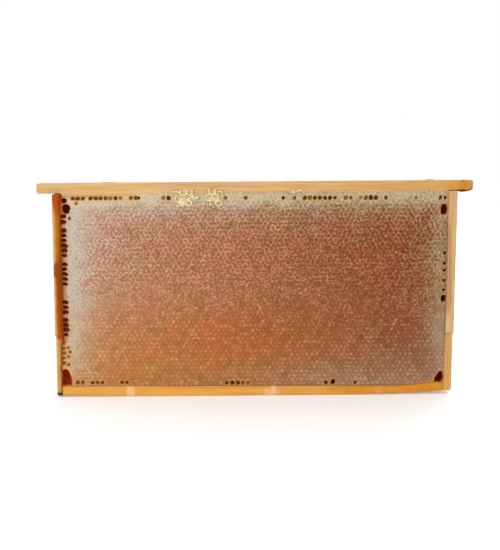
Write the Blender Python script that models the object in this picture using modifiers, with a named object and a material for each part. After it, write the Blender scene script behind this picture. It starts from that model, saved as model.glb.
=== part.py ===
"""Wooden bee frame filled with sealed honeycomb.

The frame stands upright on its bottom bar. +X runs along the top bar, the front faces -Y and +Z is up.
The origin is at the middle of the frame's foot. Everything is in metres.
"""

import math

import bmesh
import bpy
from mathutils import Matrix, Vector

# Frame
TOP_BAR_LENGTH = 0.470
BODY_WIDTH = 0.435
FRAME_HEIGHT = 0.235
BAR_DEPTH = 0.025
TOP_BAR_HEIGHT = 0.0145
LUG_HEIGHT = 0.011
SIDE_BAR_THICKNESS = 0.009
BOTTOM_BAR_HEIGHT = 0.0115
SPACER_DEPTH = 0.037  # the wide upper part of a side bar, which spaces one frame from the next
SHOULDER_LEVEL = 0.061
SHOULDER_HEIGHT = 0.009
LEFT_REBATE = 0.003  # the left bar is cut back by this on its inner side, below its shoulder
OUT_OF_SQUARE = 0.0023  # how far the foot stands to the left of the top bar
EDGE_ROUNDING = 0.0007
GAP = 0.0003  # between two pieces that touch

# V edge of a side bar: a flat strip is left outside, the rest is planed off towards the comb
V_FLAT = 0.0035
V_FALL = 0.0045
V_CUTTER_SIZE = 0.030

# Worn ends
LUG_WEAR_LENGTH = 0.013
LUG_WEAR_HEIGHT = 0.004
LUG_SAG = 0.0012
LEFT_FOOT_LEVEL = 0.0014
RIGHT_FOOT_LEVEL = 0.0038
RIGHT_FOOT_RISE = 0.0008

# Bottom bar: straight in its middle, with planed ends that curve up. Its upper edge falls from
# left to right and bends up again at the right end.
FOOT_HALF_LENGTH = 0.120
LEFT_END_RISE = 0.0020
RIGHT_END_RISE = 0.0042
BAR_TOP_FALL = 0.0011
BEND_START = 0.165
BEND_LENGTH = 0.032
BEND_RISE = 0.0036

# Comb
COMB_HALF_THICKNESS = 0.0160
COMB_EDGE_HALF_THICKNESS = 0.0142
COMB_ROLL = 0.014  # how far in from the wood the face rolls off
COMB_UNEVENNESS = 0.0005
FACE_WAVES = (31, 42)  # radians per metre across and up
SLANTED_WAVES = (67, 55)
LIP_HEIGHT = 0.0036  # wax drawn up over the lower edge of the top bar
LIP_START = -0.150
LIP_RAMP = 0.035
LIP_BREAKS = ((-0.099, -0.027), (0.030, 0.062))  # no lip where burr comb stands
LIP_TAPER = 0.0009
LIP_WAVES = ((0.15, 90, 0), (0.10, 213, 1))  # share of its height, radians per metre and phase
CELL_PITCH = 0.005388
FIRST_CELL_X = -0.2035
FIRST_ROW_Z = 0.2183
CELL_RADIUS = 0.0024
CELL_DEPTH = 0.008
CELL_CUT_LENGTH = 0.012
COMB_COLUMNS = 28
COMB_ROWS = 14

# Open cells in the front, as runs of columns of the first row
TOP_RUNS = ((2, 3), (5, 11), (13, 14), (20, 20), (32, 32), (36, 36), (44, 44), (46, 46))
TOP_RUNS += ((48, 54), (56, 62), (64, 64), (66, 66), (70, 70), (75, 75))
# Open cells above the bottom bar, as runs of a first cell's x and the number of cells
BOTTOM_RUNS = ((-0.1938, 2), (-0.1776, 3), (-0.1453, 2), (-0.0290, 5), (0.0805, 2), (0.1113, 1))
BOTTOM_CELL_Z = 0.0165
# Open cells along the side bars, as the height of a run's highest cell and the number of cells
LEFT_RUNS = ((0.1936, 1), (0.1843, 6), (0.1478, 5), (0.1060, 3), (0.0865, 4), (0.0596, 5))
RIGHT_RUNS = ((0.1567, 1), (0.1457, 1), (0.1380, 1), (0.1268, 1), (0.1163, 1), (0.1076, 1))
EDGE_CELL_X = 0.2056
# Open cells in the back, as the same kinds of runs
BACK_TOP_RUNS = ((4, 8), (17, 18), (27, 31), (41, 41), (52, 57), (68, 70))
BACK_LEFT_RUNS = ((0.180, 4), (0.132, 3), (0.075, 5))

# Pockets that the bees left in the corners: centre x and z, half width, half depth, half height
FRONT_POCKETS = (
    (-0.2065, 0.0240, 0.0062, 0.013, 0.0090),
    (0.2030, 0.0205, 0.0062, 0.013, 0.0064),
    (0.2035, 0.2040, 0.0036, 0.012, 0.0060),
    (-0.2035, 0.2073, 0.0034, 0.011, 0.0045),
)
BACK_POCKETS = (
    (0.2060, 0.0245, 0.0055, 0.012, 0.0100),
    (-0.2050, 0.0200, 0.0060, 0.012, 0.0065),
)

# Burr comb on the front: lumps as centre x and z, half width, reach and half height,
# and open wax rings as centre x and z and outer radius
LEFT_LUMPS = (
    (-0.0765, 0.2150, 0.0090, 0.0052, 0.0058),
    (-0.0735, 0.2215, 0.0125, 0.0048, 0.0045),
    (-0.0860, 0.2225, 0.0052, 0.0040, 0.0030),
)
LEFT_RINGS = ((-0.0766, 0.2243, 0.0036), (-0.0700, 0.2262, 0.0034), (-0.0650, 0.2200, 0.0032))
RIGHT_LUMPS = (
    (-0.0440, 0.2190, 0.0100, 0.0050, 0.0052),
    (-0.0415, 0.2130, 0.0070, 0.0046, 0.0045),
)
RIGHT_RINGS = (
    (-0.0458, 0.2262, 0.0038),
    (-0.0424, 0.2197, 0.0034),
    (-0.0378, 0.2222, 0.0036),
    (-0.0399, 0.2125, 0.0034),
)
SMALL_LUMPS = ((0.0470, 0.2242, 0.0080, 0.0036, 0.0030),)
SMALL_RINGS = ((0.0440, 0.2248, 0.0030),)
RING_WALL = 0.0009
RING_TAPER = 0.05  # share of its radius that a ring gains at its back and loses at its mouth
RING_REACH = 0.0057
RING_FLOOR = 0.0016
RING_SIDES = 12
BURR_CLUSTERS = (
    ("burr_comb_left", LEFT_LUMPS, LEFT_RINGS),
    ("burr_comb_right", RIGHT_LUMPS, RIGHT_RINGS),
    ("burr_comb_small", SMALL_LUMPS, SMALL_RINGS),
)

# The opening inside the wood
OPENING_HALF_WIDTH = BODY_WIDTH / 2 - SIDE_BAR_THICKNESS
OPENING_TOP = FRAME_HEIGHT - TOP_BAR_HEIGHT
FOOT_LEFT = -(OPENING_HALF_WIDTH + LEFT_REBATE - GAP)  # the ends of the bottom bar and the comb's foot
FOOT_RIGHT = OPENING_HALF_WIDTH - GAP
LUG_LEVEL = FRAME_HEIGHT - LUG_HEIGHT
BURR_BACK = -BAR_DEPTH / 2 - GAP
# The whole body leans by this shear: nothing at the top bar, all of it at the foot
LEAN = Matrix.Identity(4)
LEAN[0][2] = OUT_OF_SQUARE / FRAME_HEIGHT
LEAN[0][3] = -OUT_OF_SQUARE


def clear_scene():
    for item in list(bpy.data.objects):
        bpy.data.objects.remove(item, do_unlink=True)


def new_collection(name):
    collection = bpy.data.collections.new(name)
    bpy.context.scene.collection.children.link(collection)
    return collection


def new_material(name, colour, roughness):
    material = bpy.data.materials.new(name)
    material.use_nodes = True
    shader = material.node_tree.nodes["Principled BSDF"]
    shader.inputs["Base Color"].default_value = (*colour, 1.0)
    shader.inputs["Roughness"].default_value = roughness
    shader.inputs["Metallic"].default_value = 0.0
    return material


def new_object(name, mesh, collection, material=None):
    made = bpy.data.objects.new(name, mesh)
    collection.objects.link(made)
    if material:
        mesh.materials.append(material)
    return made


def new_cutter(name, mesh, cutters):
    made = new_object(name, mesh, cutters)
    made.hide_render = True
    made.display_type = "WIRE"
    return made


def smooth_step(value):
    value = min(max(value, 0.0), 1.0)
    return value * value * (3 - 2 * value)


def outline_mesh(name, points, thickness, turn):
    """A flat outline of (across, up) points, filled, given a thickness and turned into place."""
    curve = bpy.data.curves.new(name, "CURVE")
    curve.dimensions = "2D"
    curve.fill_mode = "BOTH"
    curve.extrude = thickness / 2
    spline = curve.splines.new("POLY")
    spline.points.add(len(points) - 1)
    for point, (across, up) in zip(spline.points, points):
        point.co = (across, up, 0.0, 1.0)
    spline.use_cyclic_u = True
    holder = bpy.data.objects.new(name, curve)
    bpy.context.scene.collection.objects.link(holder)
    depsgraph = bpy.context.evaluated_depsgraph_get()
    mesh = bpy.data.meshes.new_from_object(holder.evaluated_get(depsgraph))
    mesh.transform(turn)
    bpy.data.objects.remove(holder)
    bpy.data.curves.remove(curve)
    shape = bmesh.new()
    shape.from_mesh(mesh)
    bmesh.ops.remove_doubles(shape, verts=shape.verts, dist=0.00001)
    bmesh.ops.recalc_face_normals(shape, faces=shape.faces)
    shape.to_mesh(mesh)
    shape.free()
    mesh.name = name
    return mesh


def box_mesh(name, low, high):
    """A box between two corners."""
    low, high = Vector(low), Vector(high)
    shape = bmesh.new()
    bmesh.ops.create_cube(shape, size=1.0)
    bmesh.ops.scale(shape, vec=high - low, verts=shape.verts)
    bmesh.ops.translate(shape, vec=(low + high) / 2, verts=shape.verts)
    mesh = bpy.data.meshes.new(name)
    shape.to_mesh(mesh)
    shape.free()
    return mesh


def round_edges(piece):
    """Breaks the sharp edges of a wooden bar."""
    bevel = piece.modifiers.new("edges", "BEVEL")
    bevel.width = EDGE_ROUNDING
    bevel.segments = 2
    bevel.limit_method = "ANGLE"
    bevel.angle_limit = math.radians(40)


def cut(piece, cutter):
    boolean = piece.modifiers.new("cut", "BOOLEAN")
    boolean.operation = "DIFFERENCE"
    boolean.solver = "EXACT"
    boolean.object = cutter


def arc(centre, radii, start, end, steps):
    """Points along part of an ellipse, with angles in degrees."""
    for step in range(steps + 1):
        angle = math.radians(start + (end - start) * step / steps)
        yield centre[0] + radii[0] * math.cos(angle), centre[1] + radii[1] * math.sin(angle)


UPRIGHT = Matrix.Rotation(math.radians(90), 4, "X")  # an outline of (x, z) points
TO_THE_BACK = Matrix.Rotation(math.radians(-90), 4, "X")  # what points up then points back


def make_top_bar(collection, wood):
    """One bar with a thinner lug at each end. The right lug's lower corner is worn round."""
    half = TOP_BAR_LENGTH / 2
    notch = OPENING_HALF_WIDTH - GAP
    points = [(-half, FRAME_HEIGHT), (-half, LUG_LEVEL), (-notch, LUG_LEVEL), (-notch, OPENING_TOP)]
    points += [(notch, OPENING_TOP), (notch, LUG_LEVEL)]
    wear_start = half - LUG_WEAR_LENGTH
    points += [(BODY_WIDTH / 2 + GAP, LUG_LEVEL)]
    low = LUG_LEVEL - LUG_SAG
    centre = (wear_start, low + LUG_WEAR_HEIGHT)
    points += list(arc(centre, (LUG_WEAR_LENGTH, LUG_WEAR_HEIGHT), 270, 360, 6))
    points += [(half, FRAME_HEIGHT)]
    mesh = outline_mesh("top_bar", points, BAR_DEPTH, UPRIGHT)
    bar = new_object("top_bar", mesh, collection, wood)
    round_edges(bar)


def side_bar_outline(foot):
    """Depth against height: narrow below the shoulder and wide above it."""
    narrow = BAR_DEPTH / 2
    wide = SPACER_DEPTH / 2
    radii = (wide - narrow, SHOULDER_HEIGHT)
    top = LUG_LEVEL - GAP
    front = [(-narrow, foot)]
    front += list(arc((-wide, SHOULDER_LEVEL), radii, 0, 90, 4))
    front += [(-wide, top)]
    back = [(-across, up) for across, up in reversed(front)]
    return front + back


def v_edge_cutter(name, side, facing, cutters):
    """Planes the inner half of one long edge. side is -1 or 1 for left or right, and facing is -1
    for the front edge or 1 for the back edge."""
    outer = side * (BODY_WIDTH / 2 - V_FLAT)
    inner = side * OPENING_HALF_WIDTH
    start = Vector((outer, facing * SPACER_DEPTH / 2, 0.0))
    end = Vector((inner, facing * (SPACER_DEPTH / 2 - V_FALL), 0.0))
    along = (end - start).normalized()
    outward = Vector((-side * abs(along.y), facing * abs(along.x), 0.0))
    half = V_CUTTER_SIZE / 2
    mesh = box_mesh(name, (-half, -half, SHOULDER_LEVEL), (half, half, FRAME_HEIGHT))
    middle = (start + end) / 2 + outward * half
    turn = Matrix.Rotation(math.atan2(along.y, along.x), 4, "Z")
    mesh.transform(LEAN @ Matrix.Translation(middle) @ turn)
    return new_cutter(name, mesh, cutters)


def make_side_bar(name, side, collection, cutters, wood):
    """Both bars are the same piece, turned round: the left one has its V edge in front."""
    foot = LEFT_FOOT_LEVEL if side < 0 else RIGHT_FOOT_LEVEL
    turn = Matrix(((0, 0, 1, 0), (1, 0, 0, 0), (0, 1, 0, 0), (0, 0, 0, 1)))
    mesh = outline_mesh(name, side_bar_outline(foot), SIDE_BAR_THICKNESS, turn)
    mesh.transform(Matrix.Translation((side * (BODY_WIDTH - SIDE_BAR_THICKNESS) / 2, 0, 0)))
    if side > 0:
        wear_foot(mesh, foot)
    mesh.transform(LEAN)
    bar = new_object(name, mesh, collection, wood)
    cut(bar, v_edge_cutter(name + "_v_edge", side, side, cutters))
    if side < 0:
        cut(bar, rebate_cutter(cutters))
    round_edges(bar)


def rebate_cutter(cutters):
    """Takes the left bar's inner side away below its shoulder, where the bottom bar is let in."""
    low = (FOOT_LEFT - GAP, -SPACER_DEPTH, -SPACER_DEPTH)
    high = (-OPENING_HALF_WIDTH + SIDE_BAR_THICKNESS, SPACER_DEPTH, SHOULDER_LEVEL)
    mesh = box_mesh("left_rebate", low, high)
    mesh.transform(LEAN)
    return new_cutter("left_rebate", mesh, cutters)


def wear_foot(mesh, foot):
    """The right bar's foot slopes up to its outer side."""
    for vertex in mesh.vertices:
        if vertex.co.z < foot + GAP:
            outward = (vertex.co.x - OPENING_HALF_WIDTH) / SIDE_BAR_THICKNESS
            vertex.co.z += RIGHT_FOOT_RISE * outward


def bar_underside(x):
    """The foot is flat in the middle and planed up towards both ends."""
    reach = (abs(x) - FOOT_HALF_LENGTH) / (OPENING_HALF_WIDTH - FOOT_HALF_LENGTH)
    rise = RIGHT_END_RISE if x > 0 else LEFT_END_RISE
    return rise * max(reach, 0.0) ** 1.5


def bar_top(x):
    """The upper edge of the bottom bar."""
    bend = smooth_step((x - BEND_START) / BEND_LENGTH)
    return BOTTOM_BAR_HEIGHT - BAR_TOP_FALL * x / OPENING_HALF_WIDTH + BEND_RISE * bend


def foot_stations():
    """Evenly spaced places across the bottom bar, from its left end to its right end."""
    return [FOOT_LEFT + (FOOT_RIGHT - FOOT_LEFT) * step / COMB_COLUMNS for step in range(COMB_COLUMNS + 1)]


def make_bottom_bar(collection, wood):
    stations = foot_stations()
    points = [(x, bar_underside(x)) for x in stations]
    points += [(x, bar_top(x)) for x in reversed(stations)]
    mesh = outline_mesh("bottom_bar", points, BAR_DEPTH, UPRIGHT)
    mesh.transform(LEAN)
    bar = new_object("bottom_bar", mesh, collection, wood)
    round_edges(bar)


def lip_level(x):
    """The upper edge of the wax. Left of LIP_START and behind burr comb it stays below the top bar."""
    ramp = smooth_step((x - LIP_START) / LIP_RAMP)
    if any(start < x < end for start, end in LIP_BREAKS):
        ramp = 0.0
    wave = sum(share * math.sin(x * rate + phase) for share, rate, phase in LIP_WAVES)
    return OPENING_TOP - 2 * GAP + (LIP_HEIGHT + 2 * GAP) * ramp * (1 + wave)


def comb_half_thickness(x, z, facing):
    """The face is flat in the middle, rolls off next to the wood and is slightly uneven."""
    inside = min(x - FOOT_LEFT, OPENING_HALF_WIDTH - x, z - bar_top(x), OPENING_TOP - z)
    roll = smooth_step(inside / COMB_ROLL)
    depth = COMB_EDGE_HALF_THICKNESS
    depth += (COMB_HALF_THICKNESS - COMB_EDGE_HALF_THICKNESS) * roll
    wave = math.sin(x * FACE_WAVES[0] + facing) * math.cos(z * FACE_WAVES[1])
    wave += 0.5 * math.sin(x * SLANTED_WAVES[0] + z * SLANTED_WAVES[1] * facing)
    above = max(z - OPENING_TOP, 0.0) / LIP_HEIGHT
    return depth + COMB_UNEVENNESS * wave * roll - LIP_TAPER * min(above, 1.0)


def comb_slab_mesh():
    """A slab with two uneven faces, from a grid that is extruded through its thickness."""
    shape = bmesh.new()
    bmesh.ops.create_grid(shape, x_segments=COMB_COLUMNS, y_segments=COMB_ROWS, size=1.0)
    for vertex in shape.verts:
        across = (vertex.co.x + 1) / 2
        up = (vertex.co.y + 1) / 2
        x = FOOT_LEFT + (FOOT_RIGHT - FOOT_LEFT) * across
        foot = bar_top(x) + GAP
        vertex.co = (x, -COMB_HALF_THICKNESS, foot + (lip_level(x) - foot) * up)
    grown = bmesh.ops.extrude_face_region(shape, geom=shape.faces[:])["geom"]
    back = [item for item in grown if isinstance(item, bmesh.types.BMVert)]
    bmesh.ops.translate(shape, vec=(0, 2 * COMB_HALF_THICKNESS, 0), verts=back)
    for vertex in shape.verts:
        facing = 1 if vertex.co.y > 0 else -1
        vertex.co.y = facing * comb_half_thickness(vertex.co.x, vertex.co.z, facing)
    bmesh.ops.recalc_face_normals(shape, faces=shape.faces)
    mesh = bpy.data.meshes.new("comb")
    shape.to_mesh(mesh)
    shape.free()
    return mesh


def run_cells(runs, z):
    for first, last in runs:
        for column in range(first, last + 1):
            yield FIRST_CELL_X + CELL_PITCH * column, z


def foot_cells(runs):
    for first, count in runs:
        for index in range(count):
            yield first + CELL_PITCH * index, BOTTOM_CELL_Z


def edge_cells(runs, x):
    for top, count in runs:
        for index in range(count):
            yield x, top - CELL_PITCH * index


def open_cells_mesh(name, cells, facing):
    """Six-sided prisms, which reach from in front of the comb to the floors of the cells."""
    floor = COMB_HALF_THICKNESS - CELL_DEPTH
    shape = bmesh.new()
    for x, z in cells:
        place = Matrix.Translation((x, facing * (floor + CELL_CUT_LENGTH / 2), z)) @ UPRIGHT
        turn = Matrix.Rotation(math.radians(30), 4, "Z")
        bmesh.ops.create_cone(
            shape,
            cap_ends=True,
            segments=6,
            radius1=CELL_RADIUS,
            radius2=CELL_RADIUS,
            depth=CELL_CUT_LENGTH,
            matrix=place @ turn,
        )
    mesh = bpy.data.meshes.new(name)
    shape.to_mesh(mesh)
    shape.free()
    mesh.transform(LEAN)
    return mesh


def pockets_mesh(name, pockets, facing):
    shape = bmesh.new()
    for x, z, half_width, half_depth, half_height in pockets:
        size = Matrix.Diagonal((half_width, half_depth, half_height, 1.0))
        place = Matrix.Translation((x, facing * COMB_HALF_THICKNESS, z))
        bmesh.ops.create_uvsphere(shape, u_segments=14, v_segments=8, radius=1.0, matrix=place @ size)
    mesh = bpy.data.meshes.new(name)
    shape.to_mesh(mesh)
    shape.free()
    mesh.transform(LEAN)
    return mesh


def make_comb(collection, cutters, wax):
    mesh = comb_slab_mesh()
    mesh.transform(LEAN)
    comb = new_object("comb", mesh, collection, wax)
    low = (-TOP_BAR_LENGTH, -BAR_DEPTH / 2 - GAP, OPENING_TOP - GAP)
    high = (TOP_BAR_LENGTH, BAR_DEPTH / 2 + GAP, FRAME_HEIGHT + BAR_DEPTH)
    cut(comb, new_cutter("top_bar_space", box_mesh("top_bar_space", low, high), cutters))
    low = (-TOP_BAR_LENGTH, -SPACER_DEPTH, SHOULDER_LEVEL - GAP)
    high = (-OPENING_HALF_WIDTH + GAP, SPACER_DEPTH, FRAME_HEIGHT + BAR_DEPTH)
    side_space = box_mesh("side_bar_space", low, high)
    side_space.transform(LEAN)
    cut(comb, new_cutter("side_bar_space", side_space, cutters))
    front = list(run_cells(TOP_RUNS, FIRST_ROW_Z))
    front += list(foot_cells(BOTTOM_RUNS))
    front += list(edge_cells(LEFT_RUNS, -EDGE_CELL_X))
    front += list(edge_cells(RIGHT_RUNS, EDGE_CELL_X))
    back = list(run_cells(BACK_TOP_RUNS, FIRST_ROW_Z))
    back += list(edge_cells(BACK_LEFT_RUNS, EDGE_CELL_X))
    for name, cells, facing in (("front_cells", front, -1), ("back_cells", back, 1)):
        cut(comb, new_cutter(name, open_cells_mesh(name, cells, facing), cutters))
    for name, pockets, facing in (
        ("front_pockets", FRONT_POCKETS, -1),
        ("back_pockets", BACK_POCKETS, 1),
    ):
        cut(comb, new_cutter(name, pockets_mesh(name, pockets, facing), cutters))
    for name, lumps, rings in BURR_CLUSTERS:
        cut(comb, join_wax(name + "_seat", lumps, rings, GAP, cutters))


def upright_cylinder(name, x, z, radii, back, front):
    """A cylinder or cone along Y: radii are those of its back and its front."""
    shape = bmesh.new()
    bmesh.ops.create_cone(
        shape,
        cap_ends=True,
        segments=RING_SIDES,
        radius1=radii[1],
        radius2=radii[0],
        depth=back - front,
        matrix=Matrix.Translation((x, (back + front) / 2, z)) @ TO_THE_BACK,
    )
    mesh = bpy.data.meshes.new(name)
    shape.to_mesh(mesh)
    shape.free()
    return mesh


def ring_mesh(x, z, radius, grow):
    """The outside of a short wax cup, a little narrower at its mouth."""
    radii = (radius * (1 + RING_TAPER) + grow, radius * (1 - RING_TAPER) + grow)
    back = BURR_BACK + grow / 2
    return upright_cylinder("ring", x, z, radii, back, BURR_BACK - RING_REACH - grow)


def bore_mesh(x, z, radius):
    """The hollow inside a wax cup, down to its floor."""
    bore = radius - RING_WALL
    front = BURR_BACK - 2 * RING_REACH
    return upright_cylinder("bore", x, z, (bore, bore), BURR_BACK - RING_FLOOR, front)


def lump_mesh(x, z, half_width, reach, half_height, grow):
    """A rounded lump of wax with a flat back."""
    back = BURR_BACK + grow / 2
    shape = bmesh.new()
    size = Matrix.Diagonal((half_width + grow, reach + grow, half_height + grow, 1.0))
    place = Matrix.Translation((x, back, z)) @ size @ UPRIGHT
    bmesh.ops.create_uvsphere(shape, u_segments=12, v_segments=8, radius=1.0, matrix=place)
    bmesh.ops.bisect_plane(
        shape,
        geom=shape.verts[:] + shape.edges[:] + shape.faces[:],
        dist=0.000001,
        plane_co=(0, back, 0),
        plane_no=(0, 1, 0),
        clear_outer=True,
    )
    bmesh.ops.holes_fill(shape, edges=[edge for edge in shape.edges if edge.is_boundary])
    bmesh.ops.recalc_face_normals(shape, faces=shape.faces)
    mesh = bpy.data.meshes.new("lump")
    shape.to_mesh(mesh)
    shape.free()
    return mesh


def join_wax(name, lumps, rings, grow, cutters):
    """Lumps and cups of wax, joined into one piece that is grown all round by grow."""
    meshes = [lump_mesh(*lump, grow) for lump in lumps]
    meshes += [ring_mesh(*ring, grow) for ring in rings]
    joined = new_cutter(name, meshes[0], cutters)
    for index, mesh in enumerate(meshes[1:]):
        union = joined.modifiers.new("join", "BOOLEAN")
        union.operation = "UNION"
        union.solver = "EXACT"
        union.object = new_cutter("%s_added_%d" % (name, index), mesh, cutters)
    return joined


def make_burr(name, lumps, rings, collection, cutters, wax):
    """A cluster of burr comb, with its cups hollowed out."""
    burr = join_wax(name, lumps, rings, 0.0, cutters)
    cutters.objects.unlink(burr)
    collection.objects.link(burr)
    burr.hide_render = False
    burr.display_type = "TEXTURED"
    burr.data.materials.append(wax)
    for index, ring in enumerate(rings):
        cut(burr, new_cutter("%s_bore_%d" % (name, index), bore_mesh(*ring), cutters))


def main():
    clear_scene()
    frame = new_collection("honeycomb_frame")
    cutters = new_collection("cutters")
    top_wood = new_material("top_bar_wood", (0.68, 0.42, 0.20), 0.65)
    side_wood = new_material("side_bar_wood", (0.60, 0.33, 0.13), 0.6)
    bottom_wood = new_material("bottom_bar_wood", (0.70, 0.34, 0.07), 0.55)
    comb_wax = new_material("comb_wax", (0.42, 0.17, 0.06), 0.45)
    burr_wax = new_material("burr_wax", (0.78, 0.62, 0.32), 0.5)
    make_top_bar(frame, top_wood)
    make_side_bar("side_bar_left", -1, frame, cutters, side_wood)
    make_side_bar("side_bar_right", 1, frame, cutters, side_wood)
    make_bottom_bar(frame, bottom_wood)
    make_comb(frame, cutters, comb_wax)
    for name, lumps, rings in BURR_CLUSTERS:
        make_burr(name, lumps, rings, frame, cutters, burr_wax)


main()
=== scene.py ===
"""Looks of a wooden bee frame full of sealed honeycomb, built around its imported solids."""

import math

import bmesh
import bpy
import numpy as np
from mathutils import Matrix, Vector


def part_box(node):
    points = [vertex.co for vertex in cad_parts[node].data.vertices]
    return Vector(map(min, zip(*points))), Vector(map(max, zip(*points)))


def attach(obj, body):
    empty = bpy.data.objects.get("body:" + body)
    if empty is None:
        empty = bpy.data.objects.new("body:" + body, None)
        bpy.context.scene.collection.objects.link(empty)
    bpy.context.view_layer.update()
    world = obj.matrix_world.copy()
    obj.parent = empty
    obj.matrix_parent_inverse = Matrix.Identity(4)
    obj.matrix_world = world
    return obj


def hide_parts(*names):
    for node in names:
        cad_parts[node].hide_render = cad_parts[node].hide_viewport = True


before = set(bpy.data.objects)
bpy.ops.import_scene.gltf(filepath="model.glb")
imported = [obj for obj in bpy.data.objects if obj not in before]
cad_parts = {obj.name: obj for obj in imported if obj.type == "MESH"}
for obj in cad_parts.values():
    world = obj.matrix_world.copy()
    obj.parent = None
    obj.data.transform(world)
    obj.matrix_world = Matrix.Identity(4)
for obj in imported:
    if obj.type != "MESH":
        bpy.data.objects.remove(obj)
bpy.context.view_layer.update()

# Sizes read from the frame, in metres
TOP_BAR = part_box("top_bar")
BOTTOM_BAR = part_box("bottom_bar")
HEIGHT = TOP_BAR[1].z
BAR_FACE = TOP_BAR[1].y  # how far the bars' faces stand from the middle plane
OPENING_TOP = TOP_BAR[0].z
WAX_OVERLAP = 0.0001  # how far the wax spreads on to the side bars
BAR_END_GAP = 0.0003  # between the bottom bar's end and the left bar
OPENING_HALF = WAX_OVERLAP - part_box("side_bar_left")[1].x
FOOT_SHIFT = OPENING_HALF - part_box("side_bar_right")[0].x  # how far the foot stands to the left
REBATE = BAR_END_GAP - BOTTOM_BAR[0].x - FOOT_SHIFT - OPENING_HALF  # the left bar's cutback
SHOULDER_LEVEL = 0.061  # below it the left bar is cut back, and neither side bar is deeper than the rest

# Camera, with angles in degrees and the focal length in millimetres
CAMERA_DISTANCE = 1.0674
CAMERA_ELEVATION = 7.0
CAMERA_ROLL = -0.465
CAMERA_TARGET = Vector((-0.0058, 0.0, 0.1327))
FOCAL_LENGTH = 63.5

# The comb's lattice: upright six-sided cells, each split into fine triangles
CELL_PITCH = 0.005388
ROW_PITCH = 0.00464
FIRST_CELL_X = -0.2035
FIRST_ROW_Z = 0.2183
CELL_SPLIT = 4
COLUMN_STEP = CELL_PITCH / 2 / CELL_SPLIT
ROW_STEP = ROW_PITCH / 1.5 / CELL_SPLIT
STRIP_COUNT = 4  # pieces that the slab of comb is cut into
SIDE_TUCK = 0.0008  # how far the comb's mesh runs into the wood
FOOT_TUCK = 0.0050
HEAD_TUCK = 0.0090

# The slab is thinner at its edges, where its faces roll off towards the wood
EDGE_HALF_THICKNESS = 0.0142
MIDDLE_HALF_THICKNESS = 0.0160
ROLL_WIDTH = 0.014
LEAST_HALF_THICKNESS = 0.0006  # left behind a pit that would reach the middle plane
LIP_HEIGHT = 0.0036  # wax drawn up over the lower edge of the top bar
LIP_START = -0.150
LIP_RAMP = 0.035
# Heights of what stands on the slab's face
CAPPING_HEIGHT = 0.00034
DOME_EXTRA = 0.00008
CELL_TO_CELL = 0.00030  # how much one capping stands above another
WAX_GRIT = 0.00008
RIM_HEIGHT = 0.00035
CRUMB_HEIGHT = 0.0006

# Open cells below the top bar and above the bottom bar, as runs of a first cell's x and a count
TOP_RUNS = (
    (-0.1958, 3), (-0.1766, 7), (-0.1331, 2), (-0.1248, 1), (-0.0980, 2), (-0.0311, 1),
    (-0.0095, 1), (0.0308, 1), (0.0430, 1), (0.0542, 7), (0.0982, 2), (0.1144, 4),
    (0.1413, 1), (0.1737, 1), (0.2000, 1), (0.2050, 1),
)
BACK_TOP_RUNS = ((-0.1820, 5), (-0.1119, 2), (-0.0580, 5), (0.0174, 1), (0.0767, 6), (0.1629, 3))
BOTTOM_RUNS = ((-0.1938, 2), (-0.1776, 3), (-0.1453, 2))
LOW_CELLS = (-0.0300, -0.0237, -0.0178, -0.0122, -0.0065, 0.0790, 0.1113)
LOW_RUNS = tuple((x, 1) for x in LOW_CELLS)
# Open cells in the columns at the side bars, as runs of the highest cell's z and a count
LEFT_UPPER_RUNS = ((0.1996, 1), (0.1936, 1), (0.1843, 6), (0.1478, 5), (0.1060, 3), (0.0865, 4))
LEFT_LOWER_RUNS = ((0.0603, 5),)
RIGHT_RUNS = ((0.1567, 1), (0.1457, 1), (0.1380, 1), (0.1268, 1), (0.1163, 1))
BACK_LEFT_RUNS = ((0.180, 4), (0.132, 3), (0.075, 5))
EDGE_CELL_X = 0.2060
EDGE_CELL_CUTBACK = 0.85  # share of the left bar's cutback that the cells beside it follow
# Single cells next to the left column, as x and z
SECOND_LEFT_CELLS = (
    (-0.1990, 0.1975), (-0.2034, 0.0560), (-0.2016, 0.0510),
    (-0.2034, 0.0459), (-0.2034, 0.0370), (-0.1918, 0.2135),
)
# Half width and half height of each kind of open cell, and the least share of it that one may have
CELL_HOLE = (0.0021, 0.0023)
EDGE_HOLE = (0.0033, 0.0022)
SMALL_HOLE = (0.0019, 0.0020)
SECOND_HOLE = (0.82 * SMALL_HOLE[0], 0.82 * SMALL_HOLE[1])
RUN_CELL_SIZE = 0.86
LONE_TOP_CELL_SIZE = 0.74
EDGE_CELL_SIZE = 0.84
CELL_DEPTH = 0.0055
SECOND_CELL_DEPTH = 0.0032
TOP_CELL_DROP = 0.0016  # from the top bar down to the top row
TOP_CELL_FALL = 0.020 / 3  # how much lower the row runs per metre past the lip's start
BOTTOM_CELL_LIFT = 0.0042  # from the comb's foot up to a row
LOW_CELL_LIFT = 0.0034

# Pockets, mostly in the corners, where the comb was never finished: x, z, half width, half height,
# depth, and how far the top leans to the right per unit of height, which also narrows it
FRONT_POCKETS = (
    (-0.2062, 0.0222, 0.0056, 0.0100, 0.013, -0.10),
    (0.2033, 0.0202, 0.0043, 0.0064, 0.013, 0.24),
    (0.0868, 0.0157, 0.0023, 0.0029, 0.011, 0.18),
    (0.2038, 0.2040, 0.0036, 0.0058, 0.012, 0.0),
    (0.2058, 0.1072, 0.0031, 0.0036, 0.011, 0.0),
    (-0.2027, 0.2074, 0.0040, 0.0048, 0.011, 0.0),
    (-0.2052, 0.2164, 0.0030, 0.0028, 0.009, 0.0),
)
BACK_POCKETS = (
    (0.2060, 0.0245, 0.0055, 0.0100, 0.012, 0.0),
    (-0.2050, 0.0200, 0.0060, 0.0065, 0.012, 0.0),
)
POCKET_DEPTH = 0.0105  # a hole deeper than this shows red honey
DARKEST_DEPTH = 0.0115  # a hole as deep as this is darkest

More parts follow.
